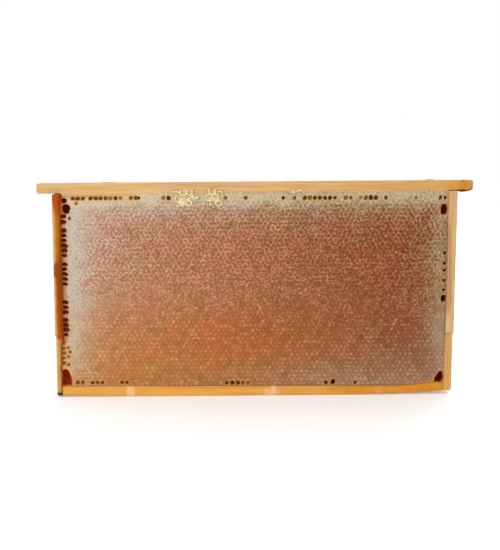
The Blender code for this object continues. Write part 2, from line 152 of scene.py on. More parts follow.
# How the lattice is drawn on to a hole's rim, with lengths as shares of the hole's half size
HOLE_SQUARENESS = 2.5  # 2 would be an oval
HOLE_FLOOR = 0.94  # how far out the floor goes before the wall begins
RIM_PULL = 0.8  # how far beyond the rim the lattice is drawn in
HOLE_REACH = 3.2  # how far away a hole still counts

# Crumbs of pale wax: x, z and size
PALE_CRUMBS = (
    (-0.1185, 0.0165, 0.0022), (-0.0795, 0.0172, 0.0030), (-0.0620, 0.0165, 0.0026),
    (-0.0365, 0.0165, 0.0022), (0.0207, 0.0124, 0.0024), (-0.1830, 0.0330, 0.0028),
)

# Pale wax on the bottom bar's face: x, z, half width, half height and strength
BOTTOM_BAR_WAX = (
    (-0.1385, 0.0060, 0.0048, 0.0120, 1.0),
    (0.0165, 0.0045, 0.0084, 0.0048, 0.8),
    (0.0190, 0.0100, 0.0030, 0.0080, 1.0),
    (0.1360, 0.0060, 0.0055, 0.0120, 0.8),
)

BACK_SEED = 40  # added to a pattern's seed on the back

RNG = np.random.default_rng(11)
GRADIENTS = RNG.uniform(0, 2 * np.pi, (256, 256))
CELL_RANDOM = RNG.random((4, 128, 256))  # gives each cell numbers of its own


# ---------------- number fields


def smooth(value, low, high):
    """0 at the low value, 1 at the high one and a soft step between."""
    t = np.clip((value - low) / (high - low), 0, 1)
    return t * t * (3 - 2 * t)


def noise(x, z, size, seed):
    """Gradient noise, about -1 to 1, with features of the given size."""
    turn = 0.5 + 0.9 * seed
    u = (x * math.cos(turn) - z * math.sin(turn)) / size + 13.7 * seed + 500
    v = (x * math.sin(turn) + z * math.cos(turn)) / size + 7.9 * seed + 500
    i = np.floor(u).astype(int)
    j = np.floor(v).astype(int)
    fu = u - i
    fv = v - j

    def corner(di, dj):
        angle = GRADIENTS[(i + di + seed * 31) % 256, (j + dj) % 256]
        return np.cos(angle) * (fu - di) + np.sin(angle) * (fv - dj)

    su = fu * fu * fu * (fu * (fu * 6 - 15) + 10)
    sv = fv * fv * fv * (fv * (fv * 6 - 15) + 10)
    low = corner(0, 0) * (1 - su) + corner(1, 0) * su
    high = corner(0, 1) * (1 - su) + corner(1, 1) * su
    return (low * (1 - sv) + high * sv) * 1.5


def layered_noise(x, z, size, seed):
    """Noise with finer noise on top."""
    layers = noise(x, z, size, seed) + 0.5 * noise(x, z, size / 2, seed + 1)
    return (layers + 0.25 * noise(x, z, size / 4, seed + 2)) / 1.4


def faded(distance, start, fade):
    """1 as far as the start, and then dying away."""
    return np.exp(-np.maximum(distance - start, 0) / fade)


def bell(value, middle, width):
    """1 in the middle and dying away to both sides."""
    return np.exp(-(((value - middle) / width) ** 2))


def face_seed(facing):
    return 0 if facing < 0 else BACK_SEED


def leaned(x, z):
    """The body is slightly out of square: its foot stands to the left."""
    return x + FOOT_SHIFT * (z / HEIGHT - 1)


# ---------------- meshes


def link_object(name, data):
    made = bpy.data.objects.new(name, data)
    bpy.context.scene.collection.objects.link(made)
    return made


def shape(mesh, points, attributes):
    """Gives a mesh its points, smooth shading and a number per point for each attribute."""
    mesh.vertices.foreach_set("co", points.astype(np.float32).ravel())
    mesh.polygons.foreach_set("use_smooth", np.ones(len(mesh.polygons), bool))
    for key, values in attributes.items():
        layer = mesh.attributes.new(key, "FLOAT", "POINT")
        layer.data.foreach_set("value", values.astype(np.float32).ravel())
    mesh.update()


def mesh_object(name, points, triangles, attributes):
    mesh = bpy.data.meshes.new(name)
    mesh.vertices.add(len(points))
    mesh.loops.add(triangles.size)
    mesh.loops.foreach_set("vertex_index", triangles.astype(np.int32).ravel())
    mesh.polygons.add(len(triangles))
    mesh.polygons.foreach_set("loop_start", np.arange(0, triangles.size, 3, dtype=np.int32))
    mesh.update(calc_edges=True)
    shape(mesh, points, attributes)
    return link_object(name, mesh)


def soften(piece, voxel, passes):
    """Rebuilds a piece as one closed skin with soft edges, and gives its mesh."""
    remesh = piece.modifiers.new("remesh", "REMESH")
    remesh.mode = "VOXEL"
    remesh.voxel_size = voxel
    smoothing = piece.modifiers.new("smoothing", "SMOOTH")
    smoothing.factor = 0.5
    smoothing.iterations = passes
    depsgraph = bpy.context.evaluated_depsgraph_get()
    mesh = bpy.data.meshes.new_from_object(piece.evaluated_get(depsgraph))
    piece.modifiers.clear()
    piece.data = mesh
    mesh.name = piece.name
    return mesh


def finish_piece(piece, material, slot, replaced):
    """Gives a piece its material and body, and hides the solids that it stands for; its slot is not used.
    """
    piece.data.materials.clear()
    piece.data.materials.append(material)
    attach(piece, "root")
    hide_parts(*replaced)


def vertex_arrays(mesh):
    """The points and normals of a mesh, as two arrays of rows."""
    points = np.empty(len(mesh.vertices) * 3, np.float32)
    mesh.vertices.foreach_get("co", points)
    normals = np.empty(len(mesh.vertices) * 3, np.float32)
    mesh.vertex_normals.foreach_get("vector", normals)
    return points.reshape(-1, 3).astype(float), normals.reshape(-1, 3).astype(float)


# ---------------- the comb's open cells


def run_holes(runs, level, seed, share, lone_size=RUN_CELL_SIZE):
    """Open cells along the top or the foot, none quite like the next, in the pockets' own terms."""
    for first, count in runs:
        least = lone_size if count == 1 else RUN_CELL_SIZE
        for step in range(count):
            x = first + step * CELL_PITCH
            own = CELL_RANDOM[:, seed, round(abs(x) * 10000) % 256]
            size = least + 0.28 * own[0]
            depth = CELL_DEPTH * share * (0.55 + 0.7 * own[1])
            yield x, level(x), CELL_HOLE[0] * size, CELL_HOLE[1] * size, depth, 0.3 * own[2] - 0.15


def top_row(x):
    """The level of the cells below the top bar."""
    return OPENING_TOP - TOP_CELL_DROP - TOP_CELL_FALL * max(x - LIP_START, 0)


def foot_row(lift):
    """The level, as a function of x, of cells that stand so far above the comb's foot."""
    return lambda x: float(foot_level(np.array(x))) + lift


def edge_holes(runs, side, hole, seed, share=1.2):
    """Open half cells of a column against a side bar."""
    for top, count in runs:
        for step in range(count):
            z = top - step * CELL_PITCH
            own = CELL_RANDOM[:, seed, round(z * 10000) % 256]
            size = EDGE_CELL_SIZE + 0.34 * own[0]
            x = side * EDGE_CELL_X
            if side < 0 and z < SHOULDER_LEVEL:
                x -= EDGE_CELL_CUTBACK * REBATE
            x += 0.0010 * (own[2] - 0.5)
            yield x, z, hole[0] * size, hole[1] * size, CELL_DEPTH * share, 0.4 * own[1] - 0.2


def front_holes():
    """Every open cell and pocket in the front."""
    yield from run_holes(TOP_RUNS, top_row, 0, 1.0, LONE_TOP_CELL_SIZE)
    yield from run_holes(BOTTOM_RUNS, foot_row(BOTTOM_CELL_LIFT), 50, 0.8)
    yield from run_holes(LOW_RUNS, foot_row(LOW_CELL_LIFT), 50, 1.1)
    yield from edge_holes(LEFT_UPPER_RUNS, -1, EDGE_HOLE, 3)
    yield from edge_holes(LEFT_LOWER_RUNS, -1, SMALL_HOLE, 4, 0.6)
    yield from edge_holes(RIGHT_RUNS, 1, SMALL_HOLE, 8)
    for x, z in SECOND_LEFT_CELLS:
        yield x, z, *SECOND_HOLE, SECOND_CELL_DEPTH, 0.0
    yield from FRONT_POCKETS


def back_holes():
    yield from run_holes(BACK_TOP_RUNS, top_row, 90, 1.0, LONE_TOP_CELL_SIZE)
    yield from edge_holes(BACK_LEFT_RUNS, 1, EDGE_HOLE, 20)
    yield from BACK_POCKETS


def off_middle(across, up, half_width, half_height, lean):
    """How far each point is from a hole's middle, 1 being the hole's rim."""
    narrow = np.maximum(1 - 1.3 * abs(lean) * up / half_height, 0.3)
    share_across = np.abs((across - lean * up) / (half_width * narrow))
    share_up = np.abs(up / half_height)
    return (share_across**HOLE_SQUARENESS + share_up**HOLE_SQUARENESS) ** (1 / HOLE_SQUARENESS)


def sink_holes(x, z, holes, seed):
    """Draws the lattice's points on to each hole's rim, so that the holes have round edges and
    upright walls. Gives the new points, how deep each lies, how dark it is, how near it is to a
    hole and whether it is in or at one of the pockets."""
    new_x, new_z = x.copy(), z.copy()
    depth, tone, near, gap = (np.zeros(x.shape) for field in range(4))
    for number, (hole_x, hole_z, half_width, half_height, hole_depth, lean) in enumerate(holes):
        reach = HOLE_REACH * max(half_width, half_height)
        window = (np.abs(x - hole_x) < reach) & (np.abs(z - hole_z) < reach)
        across, up = x[window] - hole_x, z[window] - hole_z
        wobble = 1 + 0.10 * noise(x[window], z[window], 0.0035, seed + 60)
        out = np.maximum(off_middle(across, up, half_width, half_height, lean) * wobble, 1e-6)
        inner = HOLE_FLOOR * (1 - (1 - np.minimum(out, 1)) ** 2)
        beyond = np.clip((out - 1) / RIM_PULL, 0, 1)
        outer = 1 + RIM_PULL * beyond**1.6 + np.maximum(out - 1 - RIM_PULL, 0)
        drawn = np.where(out < 1, inner, outer) / out
        free = depth[window] == 0
        new_x[window] = np.where(free, hole_x + across * drawn, new_x[window])
        new_z[window] = np.where(free, hole_z + up * drawn, new_z[window])
        inside = out < 1
        floor = hole_depth * (1 - 0.18 * np.minimum(out, 1) ** 2)
        depth[window] = np.where(inside, np.maximum(depth[window], floor), depth[window])
        dark = np.clip(hole_depth / DARKEST_DEPTH + 0.10 * math.sin(number * 2.4), 0, 1)
        dark = dark * (1 - (0.40 if dark < 0.75 else 0.12) * np.minimum(inner, 1) ** 2)
        tone[window] = np.where(inside, np.maximum(tone[window], dark), tone[window])
        near[window] = np.maximum(near[window], np.exp(-np.maximum(out - 1, 0) / 0.55))
        if hole_depth > POCKET_DEPTH:
            gap[window] = np.maximum(gap[window], smooth(out, 1.24, 1.02))
    return new_x, new_z, depth, tone, near, gap


# ---------------- the comb's face


def cell_wave(x, z):
    """A wave with a crest of 1 in the middle of each cell and -0.5 at its corners."""
    across = 2 * np.pi * (x - FIRST_CELL_X) / CELL_PITCH
    down = 2 * np.pi * (z - FIRST_ROW_Z) / ROW_PITCH
    return (np.cos(across + down / 2) + np.cos(across - down / 2) + np.cos(down)) / 3


def nearest_cell(x, z):
    """The column and row of each point's cell."""
    best = np.full(x.shape, np.inf)
    cell_column = np.zeros(x.shape, int)
    cell_row = np.zeros(x.shape, int)
    level = (FIRST_ROW_Z - z) / ROW_PITCH
    for row in (np.floor(level).astype(int), np.ceil(level).astype(int)):
        offset = 0.5 * (row % 2)
        column = np.round((x - FIRST_CELL_X) / CELL_PITCH - offset).astype(int)
        dx = x - FIRST_CELL_X - (column + offset) * CELL_PITCH
        away = np.hypot(dx, z - FIRST_ROW_Z + row * ROW_PITCH)
        closer = away < best
        best = np.where(closer, away, best)
        cell_column = np.where(closer, column, cell_column)
        cell_row = np.where(closer, row, cell_row)
    return cell_column, cell_row


def capping_pattern(x, z, seed):
    """How raised and pale the wax is: thin ridges that curl round sunken middles high up, and one
    dome a cell low down, whose pale tip is partly dry wax and partly a painted highlight."""
    column, row = nearest_cell(x, z)
    own = [CELL_RANDOM[k, row % 128, (column + seed) % 256] for k in range(2)]
    domed = smooth(z + 0.025 * layered_noise(x, z, 0.05, seed + 5), 0.150, 0.060)
    curl = noise(x, z, 0.0025, seed + 8) + 0.5 * noise(x, z, 0.0018, seed + 9)
    wave = cell_wave(x, z)
    ridges = smooth(0.84 * curl - 0.46 * wave, -0.43, 0.63)
    # A dome's pale tip is partly dry wax and partly a painted highlight.
    domes = smooth(0.76 * wave + 0.80 * curl, -0.48, 1.28) * (0.68 + 0.62 * own[1])
    strength = 0.85 + 0.25 * layered_noise(x, z, 0.012, seed + 15) + 0.16 * noise(x, z, 0.0055, seed + 16)
    pattern = (ridges * (1 - domed) + domes * domed) * strength * (0.85 + 0.3 * own[0])
    return pattern, domed, own[1]


def region_dryness(x, z, facing):
    """Where the cappings are white: at the top, at the sides and most of all in one upper corner."""
    seed = face_seed(facing)
    x = x * -facing
    from_top = OPENING_TOP - z
    from_left = OPENING_HALF + x
    from_right = OPENING_HALF - x
    wander = 0.008 * layered_noise(x, z, 0.022, seed + 12)
    top = 0.90 * faded(from_top + wander, 0.005, 0.014)
    left = 0.88 * faded(from_left + wander, 0.013, 0.024) * smooth(z, -0.10, 0.09)
    flakes = 0.35 * smooth(noise(x, z, 0.0060, seed + 17), 0.05, 0.60) * smooth(z, 0.085, 0.070)
    left = left + flakes * smooth(from_left, 0.034, 0.012) * smooth(z, 0.018, 0.030)
    right = 0.66 * faded(from_right + wander, 0.007, 0.017)
    right = right * (1 + 0.25 * bell(z, 0.085, 0.024) * smooth(from_right, 0.012, 0.004))
    foot = 0.55 * faded(z + wander, 0.020, 0.020) * (0.20 + 0.80 * smooth(x, -0.06, 0.12))
    corner = 0.58 * faded(np.hypot(from_left, 1.2 * from_top), 0, 0.075)
    return np.maximum(np.maximum(top, left), np.maximum(right, foot)) + corner


def lip_level(x, seed):
    """The upper edge of the wax on the top bar's face."""
    rise = smooth(x, LIP_START, LIP_START + LIP_RAMP)
    uneven = 1 + 0.35 * noise(x, 0 * x, 0.010, seed + 20) + 0.25 * noise(x, 0 * x, 0.0035, seed + 21)
    return OPENING_TOP - 0.0004 + LIP_HEIGHT * rise * uneven


def roll_to_wood(stand, past_edge, width, sunk):
    """Rounds the face off towards the wood's face, and lets it sink into the wood past its edge."""
    t = np.clip(1 + past_edge / width, 0, 1)
    rounded = BAR_FACE + (stand - BAR_FACE) * np.sqrt(1 - t * t)
    return np.where(past_edge > 0, BAR_FACE - sunk * smooth(past_edge, 0, 0.0012), rounded)


def bar_upper_edge(name):
    """Places along x and the level of a bar's upper edge at each, from its solid."""
    points, normals = vertex_arrays(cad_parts[name].data)
    on_top = points[normals[:, 2] > 0.3]
    order = np.argsort(on_top[:, 0])
    across, level = on_top[order, 0], on_top[order, 2]
    same = np.abs(across - across[:, None]) < 0.002
    return across, np.where(same, level, 0).max(axis=1)


FOOT_STATIONS, FOOT_LEVELS = bar_upper_edge("bottom_bar")


def foot_level(x):
    """Where the comb begins above the bottom bar, for a place that isn't leaned yet."""
    return np.interp(x - FOOT_SHIFT, FOOT_STATIONS, FOOT_LEVELS)


def wood_edge(x, z):
    """How far each point lies past the side bars' inner faces, less than 0 inside the opening."""
    left_edge = OPENING_HALF + REBATE * smooth(z, SHOULDER_LEVEL + 0.0005, SHOULDER_LEVEL - 0.0010)
    return np.maximum(x - OPENING_HALF, -x - left_edge)


def crumb_cover(x, z):
    """1 on each crumb of pale wax, falling to 0 at its ragged edge."""
    crumbs = np.zeros(x.shape)
    for crumb_x, crumb_z, size in PALE_CRUMBS:
        out = np.hypot(x - crumb_x, z - crumb_z) / size * (1 + 0.5 * noise(x, z, 0.003, 33))
        crumbs = np.maximum(crumbs, smooth(out, 1.0, 0.4))
    return crumbs


def slab_stand(x, z, past_side, foot, seed):
    """How far the comb stands from the middle plane, before its cappings."""
    inside = np.minimum(np.minimum(-past_side, z - foot), OPENING_TOP - z)
    roll = smooth(inside, 0, ROLL_WIDTH)
    stand = EDGE_HALF_THICKNESS + (MIDDLE_HALF_THICKNESS - EDGE_HALF_THICKNESS) * roll
    return stand + 0.0006 * layered_noise(x, z, 0.055, seed + 3) * roll


def meet_wood(x, z, stand, past_side, foot, depth, seed):
    """Rolls the face off towards the bars and the lip, and sinks the open cells in it."""
    stand = roll_to_wood(stand, foot - z, 0.0020, 0.0012)
    low_side = smooth(z, SHOULDER_LEVEL + 0.010, SHOULDER_LEVEL + 0.006)
    rolled = roll_to_wood(stand, past_side, 0.0018, 0.0010)
    stand = np.maximum(stand + (rolled - stand) * low_side - depth, LEAST_HALF_THICKNESS)
    lip = lip_level(x, seed)
    return roll_to_wood(stand, z - lip, lip - OPENING_TOP + 0.0030, 0.0012)


def wax_looks(x, z, facing, past_side, foot, near, crumbs, cappings):
    """How dry, shaded and gummed the wax is at each point."""
    seed = face_seed(facing)
    pattern, domed, own = cappings
    front = facing < 0
    beside_left_bar = x * facing > 0
    dryness = region_dryness(x, z, facing)
    blotch = layered_noise(x, z, 0.010, seed + 14)
    speckle = (pattern - 0.45) * (0.92 - 0.62 * np.clip(dryness, 0, 1) - 0.25 * domed)
    dry = dryness * (1 + 0.22 * blotch) + speckle * np.clip(dryness * 2, 0, 1) + 0.06 * (own - 0.5)
    # Painted shade on the wax beside the left bar, with some dark propolis.
    bar_shade = smooth(-past_side, 0.0030, 0.0006) * beside_left_bar
    bend_gum = 0.6 * smooth(z - foot, 0.0032, 0.0014) * smooth(x, 0.150, 0.180) * front
    smear = smooth(OPENING_TOP - z + 0.003 * noise(x, z, 0.007, seed + 16), 0.0085, 0.0030)
    smear = smear * smooth(x, -0.110, -0.135) * smooth(x, -0.200, -0.180) * front
    gum = 0.7 * smooth(-past_side + 0.0012 * blotch, 0.0070, 0.0042) * beside_left_bar
    amber = np.maximum(np.maximum(near * 0.85, 0.6 * smear), gum)
    glow = bell(x, 0.015, 0.100) * bell(z, 0.062, 0.030)
    light_band = 0.28 * bell(z, 0.114, 0.032) * smooth(x * -facing, -0.215, -0.180)
    return {
        "dry": np.clip(np.maximum(dry, 0.65 * crumbs), 0, 1),
        "amber": np.clip(amber, 0, 1) * (1 - crumbs),
        "bar_shade_and_gum": np.maximum(bar_shade, bend_gum),
        "pattern": np.clip(pattern + 0.22 * (own - 0.5), 0, 1),
        "shade": np.clip(0.56 + 0.62 * blotch + light_band, 0, 1),
        "glow": glow * (1 + 0.5 * layered_noise(x, z, 0.030, seed + 25)) * front,
    }


def comb_face(x, z, facing):
    """The face's points and what the wax looks like at each."""
    seed = face_seed(facing)
    holes = front_holes() if facing < 0 else back_holes()
    x, z, depth, tone, near, gap = sink_holes(x, z, holes, seed)
    past_side = wood_edge(x, z)
    foot = foot_level(x) + 0.0003 * noise(x, 0 * x, 0.006, seed + 22)
    crumbs = crumb_cover(x, z) if facing < 0 else np.zeros(x.shape)
    pattern, domed, own = capping_pattern(x, z, seed)
    relief = (CAPPING_HEIGHT + DOME_EXTRA * domed) * pattern + CELL_TO_CELL * (own - 0.5)
    relief = relief + WAX_GRIT * noise(x, z, 0.0017, seed + 10)
    stand = slab_stand(x, z, past_side, foot, seed) + relief * (1 - near)
    stand = stand + CRUMB_HEIGHT * crumbs + RIM_HEIGHT * near * (depth == 0)
    stand = meet_wood(x, z, stand, past_side, foot, depth, seed)
    fields = wax_looks(x, z, facing, past_side, foot, near, crumbs, (pattern, domed, own))
    points = np.stack([leaned(x, z), facing * stand, z], -1)
    return points, {**fields, "deep": tone, "gap": gap}


def fine_lattice():
    """Columns of points, every other one half a step up, that hit each cell's middle and corners."""
    half = OPENING_HALF + SIDE_TUCK
    first = math.ceil((-half - REBATE - FIRST_CELL_X) / COLUMN_STEP)
    last = math.floor((half - FIRST_CELL_X) / COLUMN_STEP)
    low = math.ceil((FOOT_LEVELS.min() - FOOT_TUCK - FIRST_ROW_Z) / ROW_STEP)
    high = math.floor((OPENING_TOP + HEAD_TUCK - FIRST_ROW_Z) / ROW_STEP)
    column, row = np.meshgrid(np.arange(first, last + 1), np.arange(low, high), indexing="ij")
    x = FIRST_CELL_X + column * COLUMN_STEP
    z = FIRST_ROW_Z + (row + 0.5 * (column % 2)) * ROW_STEP
    return column, x, z


def lattice_triangles(parity, height):
    """Triangles between neighbouring columns of points, turned towards the front."""
    index = np.arange(len(parity) * height).reshape(len(parity), height)
    low, up = index[:-1, :-1], index[:-1, 1:]
    far_low, far_up = index[1:, :-1], index[1:, 1:]
    even = (parity[:-1, None] == 0) & np.ones(height - 1, bool)
    first = np.stack([low, far_low, np.where(even, up, far_up)], -1)
    second = [np.where(even, up, low), np.where(even, far_low, far_up), np.where(even, far_up, up)]
    second = np.stack(second, -1)
    return np.concatenate([first.reshape(-1, 3), second.reshape(-1, 3)]), index


def wall_triangles(loop, offset):
    """Joins a strip's two faces all round its edge."""
    following = np.roll(loop, -1)
    one = np.stack([loop, loop + offset, following], -1)
    two = np.stack([following, loop + offset, following + offset], -1)
    return np.concatenate([one, two])


def comb_strips():
    """The whole slab of comb, as closed strips side by side."""
    column, x, z = fine_lattice()
    (front_points, front_fields), (back_points, back_fields) = (comb_face(x, z, way) for way in (-1, 1))
    points = np.stack([front_points, back_points])
    fields = {key: np.stack([values, back_fields[key]]) for key, values in front_fields.items()}
    edges = np.linspace(0, len(x) - 1, STRIP_COUNT + 1).round().astype(int)
    for number, (start, end) in enumerate(zip(edges[:-1], edges[1:]), 1):
        span = slice(start, end + 1)
        front, index = lattice_triangles(column[span, 0] % 2, x.shape[1])
        back = front[:, ::-1] + index.size
        loop = np.concatenate([index[:, 0], index[-1, 1:], index[-2::-1, -1], index[0, -2:0:-1]])
        triangles = np.concatenate([front, back, wall_triangles(loop, index.size)])
        own_fields = {key: values[:, span] for key, values in fields.items()}
        name = "comb_strip_%d" % number
        piece = mesh_object(name, points[:, span].reshape(-1, 3), triangles, own_fields)
        mark_sharp(piece.data, loop, index.size)
        yield piece


def mark_sharp(mesh, loop, offset):
    """Keeps the strip's cut sides from bending the shading of its faces."""
    on_edge = np.zeros(len(mesh.vertices), bool)
    on_edge[loop] = True
    on_edge[loop + offset] = True
    ends = np.empty(len(mesh.edges) * 2, np.int32)
    mesh.edges.foreach_get("vertices", ends)
    ends = ends.reshape(-1, 2)
    sharp = on_edge[ends].all(axis=1)
    layer = mesh.attributes.new("sharp_edge", "BOOLEAN", "EDGE")
    layer.data.foreach_set("value", sharp)


# ---------------- wood

WOOD_VOXEL = 0.0011
GRAIN_HEIGHT = 0.00009
DENT_DEPTH = 0.00030
ALONG_X = 0
ALONG_Z = 2
# Places along the top bar: where its right lug's underside turns dark with propolis and painted
# shade, the chip in that underside, a dark spot on its upper edge, a lump of wax and a long low swelling
DARK_FROM, DARK_TO = 0.213, 0.219
CHIP_X = 0.2225
DARK_SPOT_X = 0.2245
LUMP_X, LUMP_Y, LUMP_RADIUS = 0.192, 0.005, 0.0048
SWELLING_X = -0.159


def worn_copy(name, grain_axis, marks, seed):
    """A bar with worn edges and raised grain, from its solid. marks gives extra fields and height."""
    piece = link_object(name + "_wood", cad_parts[name].data.copy())
    mesh = soften(piece, WOOD_VOXEL, 3)
    points, normals = vertex_arrays(mesh)
    along = points[:, grain_axis]
    across = points[:, 1] + 1.7 * points[:, 2 - grain_axis]
    grain = noise(along / 14, across, 0.0028, seed) + 0.5 * noise(along / 10, across, 0.0013, seed + 1)
    dents = np.minimum(noise(along, across, 0.012, seed + 2) + 0.45, 0)
    fields, extra = marks(points, normals, seed)
    height = GRAIN_HEIGHT * grain + DENT_DEPTH * dents + extra
    shape(mesh, points + normals * height[:, None], fields)
    return piece


def spot(points, middle_x, middle_z, half_width, half_height):
    """1 in the middle of a patch on a bar's face, falling to 0 at its edge."""
    x, z = points[:, 0], points[:, 2]
    out = np.hypot((x - middle_x) / half_width, (z - middle_z) / half_height)
    return smooth(out * (1 + 0.35 * noise(x, z, 0.004, 71)), 1.15, 0.75)


def underside(x, z):
    """The level of a bar's underside at each x."""
    bins = np.linspace(x.min(), x.max(), 240)
    place_in = np.clip(np.digitize(x, bins), 0, len(bins) - 1)
    lowest = np.full(len(bins), np.inf)
    np.minimum.at(lowest, place_in, z)
    return lowest[place_in]


def top_bar_marks(points, normals, seed):
    """Dark stains on the right lug and at both ends, propolis and painted shade under the right lug and
    along its lower edge, and two low lumps on the upper face.
    """
    x, y, z = points.T
    # Propolis and painted shade on the right lug's underside.
    lug_underside_shade_and_propolis = smooth(-normals[:, 2], 0.15, 0.55) * smooth(x, DARK_FROM, DARK_TO)
    smear = smooth(noise(x, z, 0.004, seed + 5), -0.2, 0.3)
    # A dark line along the lug's lower edge: propolis, and partly a painted shadow.
    reach = 0.0022 + 0.0016 * smooth(np.abs(x - CHIP_X), 0.0050, 0.0020)
    lug_edge_propolis_and_shadow = smooth((z - underside(x, z)) / reach, 1.0, 0.35) * smooth(x, 0.2175, 0.2205)
    front_edge = smooth(y, 0.006 - BAR_FACE, 0.002 - BAR_FACE)
    stain = lug_underside_shade_and_propolis + lug_edge_propolis_and_shadow * (0.75 + 0.25 * smear)
    stain = stain + 0.8 * spot(points, DARK_SPOT_X, HEIGHT, 0.0016, 0.0014) * front_edge
    stain = stain + 0.3 * smooth(np.abs(x), TOP_BAR[1].x - 0.0016, TOP_BAR[1].x)
    stain = stain + 0.16 * smooth(x, 0.2150, 0.2300) * (1 + noise(x, z, 0.008, seed + 6))
    upper_face = smooth(normals[:, 2], 0.3, 0.8)
    off_lump = np.hypot(x - LUMP_X, y - LUMP_Y) / LUMP_RADIUS * (1 + 0.3 * noise(x, y, 0.004, 72))
    lump = smooth(off_lump, 1.15, 0.75) * upper_face
    swelling = spot(points, SWELLING_X, HEIGHT, 0.0090, 0.0030) * upper_face
    swelling = swelling * smooth(np.abs(y), BAR_FACE - 0.001, BAR_FACE - 0.009)
    fields = {"stain": np.clip(stain, 0, 1), "wax": 0.8 * lump}
    return fields, 0.0012 * lump + 0.0008 * swelling + 0.0003 * lug_underside_shade_and_propolis


def bottom_bar_marks(points, normals, seed):
    """A golden film that grows towards the right, and patches of pale wax."""
    x, z = points[:, 0], points[:, 2]
    patches = np.zeros(len(points))
    for middle_x, middle_z, half_width, half_height, strength in BOTTOM_BAR_WAX:
        patch = spot(points, middle_x, middle_z, half_width, half_height)
        patches = np.maximum(patches, strength * patch)
    front = smooth(-normals[:, 1], 0.2, 0.7)
    stain = smooth(x, 0.020, 0.170) * (0.75 + 0.25 * noise(x, z, 0.01, seed))
    fields = {"stain": np.clip(stain * front, 0, 1), "wax": patches * front}
    return fields, 0.00035 * patches * front


def side_bar_marks(points, normals, seed):
    """Marks on the side bars: on the left bar brown on its planed slope and dark at the comb, both partly
    stain and partly painted shade, orange at the top and a black painted shadow at the foot; faint painted
    shade on the right bar at the comb.
    """
    x, y, z = points.T
    left = x < 0
    to_edge = np.abs(x + np.where(left, 1, -1) * FOOT_SHIFT * (1 - z / HEIGHT)) - OPENING_HALF
    upper = smooth(z, SHOULDER_LEVEL - 0.001, SHOULDER_LEVEL + 0.006)
    runs = 0.0008 * noise(x, z, 0.012, seed + 4)
    # Brown on the left bar's planed slope: partly stain, partly painted shade on the face that turns to
    # the comb.
    brown = smooth(to_edge + runs, 0.0078, 0.0046) * upper
    # Dark on the inner face beside the comb, above and below the shoulder: partly stain, partly painted
    # shade.
    comb_side_stain_and_shade = smooth(to_edge + runs, 0.0034, 0.0008) * upper
    low_comb_stain_and_shade = 0.35 * smooth(to_edge - REBATE + runs, 0.0040, 0.0008) * (1 - upper)
    under_bar = smooth(z - 0.5 * to_edge, 0.193, 0.213) * smooth(y, 0.008, -0.006)
    # A painted shadow at the left bar's foot.
    foot = smooth(z, 0.0068, 0.0038) * smooth(y, 0.004, -0.004)
    front = smooth(-normals[:, 1], 0.1, 0.6)
    spots = 0.6 * spot(points, -0.2158, 0.1420, 0.0032, 0.0080) * front
    # On the right bar only faint painted shade along its inner edge.
    right_bar_shade = 0.20 * smooth(z, 0.083, 0.100) * smooth(z, 0.196, 0.180)
    fields = {
        "stain": np.clip((comb_side_stain_and_shade + low_comb_stain_and_shade) * np.where(left, 1, right_bar_shade) + spots, 0, 1),
        "painted_foot_shadow": foot * left,
        "wax": np.zeros(len(points)),
        "brown": brown * left,
        "warm": under_bar * left,
    }
    return fields, 0.0


# ---------------- burr comb

# Curled cell walls, in millimetres from a cluster's low left corner: middle across and up, half
# width, half height, and the stretch of the oval that stands, in degrees
LEFT_CURLS = (
    (14.3, 15.4, 3.3, 4.0, 140, 395),
    (21.1, 16.0, 3.0, 3.8, 150, 400),
    (15.4, 5.2, 4.3, 3.4, 0, 330),
    (12.2, 2.9, 2.3, 2.2, 60, 400),
    (23.6, 7.6, 3.0, 2.8, 20, 290),
    (27.2, 10.8, 2.9, 2.6, 130, 380),
    (8.6, 8.4, 2.7, 3.2, 100, 330),
    (20.5, 3.4, 2.9, 2.4, 170, 420),
    (5.5, 12.6, 6.5, 3.4, 25, 130),
)
RIGHT_CURLS = (
    (8.4, 17.2, 3.4, 4.1, 140, 400),
    (11.5, 10.9, 3.2, 2.9, -20, 300),
    (14.6, 12.6, 4.9, 4.6, -40, 80),
    (15.0, 4.7, 3.3, 3.5, 170, 375),
    (4.6, 10.0, 2.9, 3.0, 60, 330),
    (8.6, 4.6, 2.9, 2.7, 90, 260),
)
SMALL_CURLS = ((3.4, 3.4, 1.8, 1.5, 150, 300), (9.4, 3.4, 2.6, 1.3, 20, 160))
# Heaps of wax that the walls stand on: middle across and up, half width, half height, reach
LEFT_LUMPS = (
    (16.0, 8.6, 13.5, 8.0, 2.3),
    (14.0, 6.0, 8.0, 5.0, 3.0),
    (24.0, 9.0, 6.0, 3.8, 2.8),
    (5.4, 14.2, 4.6, 2.4, 2.0),
    (17.6, 15.0, 7.0, 4.2, 1.7),
)
RIGHT_LUMPS = ((10.0, 10.0, 8.6, 8.8, 2.2), (12.5, 7.0, 5.6, 4.8, 2.9), (5.6, 9.6, 4.6, 3.8, 2.6))
SMALL_LUMPS = ((3.0, 3.4, 3.0, 2.2, 2.2), (8.4, 3.6, 4.4, 2.0, 1.9), (13.4, 2.2, 2.4, 1.6, 1.8))
CURL_WALL = 0.00175
CURL_SECTION = ((-0.5, 0), (-0.36, 1), (0.36, 1), (0.5, 0))  # shares of the wall's width and height
CURL_STEPS = 26
CURL_REACH = 0.80  # share of the cluster's depth
LUMP_SUNK = 0.0002
BURR_VOXEL = 0.00042


